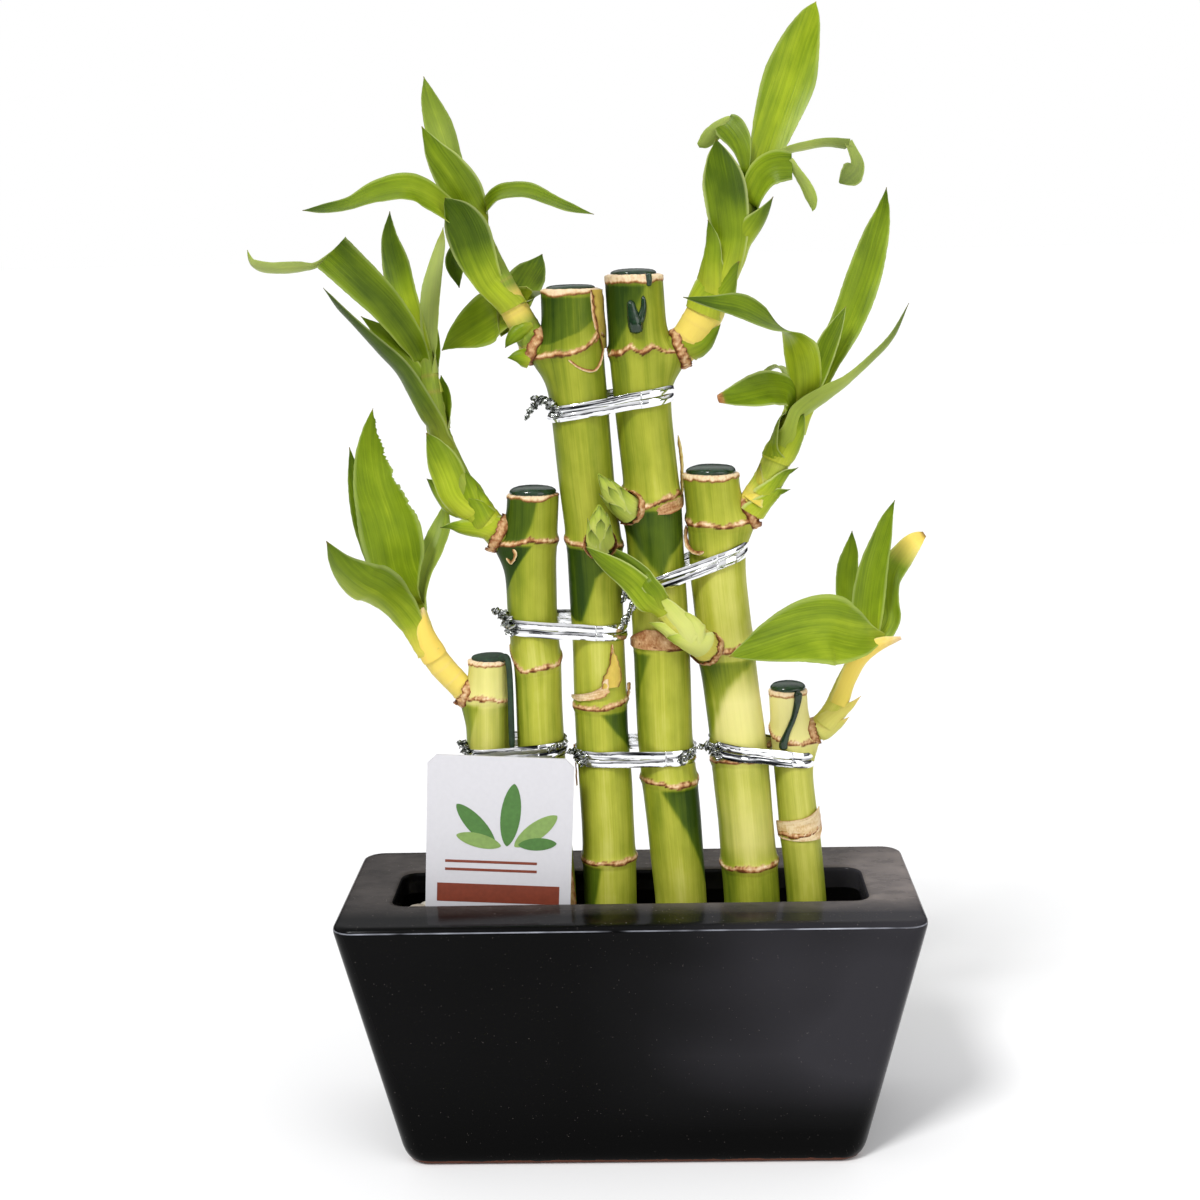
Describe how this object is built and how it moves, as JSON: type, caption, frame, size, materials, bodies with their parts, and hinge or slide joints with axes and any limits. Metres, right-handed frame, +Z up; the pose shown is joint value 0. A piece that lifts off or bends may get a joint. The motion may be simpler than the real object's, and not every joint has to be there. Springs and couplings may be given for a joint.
{
  "type": "lucky bamboo plant in planter",
  "caption": "Tied row of cut lucky bamboo canes with leafy shoots in a black glazed slot planter filled with pebbles, free-standing table plant",
  "frame": {"origin": "middle of the planter's flat underside, on the surface it stands on", "axes": "+Z up, +X along the row of canes, +Y towards the back; the care tag faces -Y"},
  "size_m": [0.1711, 0.0638, 0.2942],
  "materials": {
    "black_glaze": "glossy",
    "pebbles": "matte",
    "cane_green": "satin",
    "wax_green": "glossy",
    "leaf_green": "satin",
    "silver_foil": "crinkled, shiny",
    "tag_card": "satin"
  },
  "bodies": {
    "root": {"planter": "black_glaze", "pebble_bed": "pebbles", "cane_1": "cane_green", "cane_2": "cane_green", "cane_3": "cane_green", "cane_4": "cane_green", "cane_5": "cane_green", "cane_6": "cane_green", "wax_cap_1": "wax_green", "wax_cap_2": "wax_green", "wax_cap_3": "wax_green", "wax_cap_4": "wax_green", "wax_cap_5": "wax_green", "wax_cap_6": "wax_green", "leafy_shoot_1": "leaf_green", "leafy_shoot_2": "leaf_green", "leafy_shoot_3": "leaf_green", "leafy_shoot_4": "leaf_green", "leafy_shoot_5": "leaf_green", "leafy_shoot_6": "leaf_green", "young_shoot": "leaf_green", "bud_1": "leaf_green", "bud_2": "leaf_green", "tie_1": "silver_foil", "tie_2": "silver_foil", "tie_3": "silver_foil", "tie_4": "silver_foil", "tie_5": "silver_foil", "tie_6": "silver_foil", "care_tag": "tag_card"}
  },
  "joints": []
}
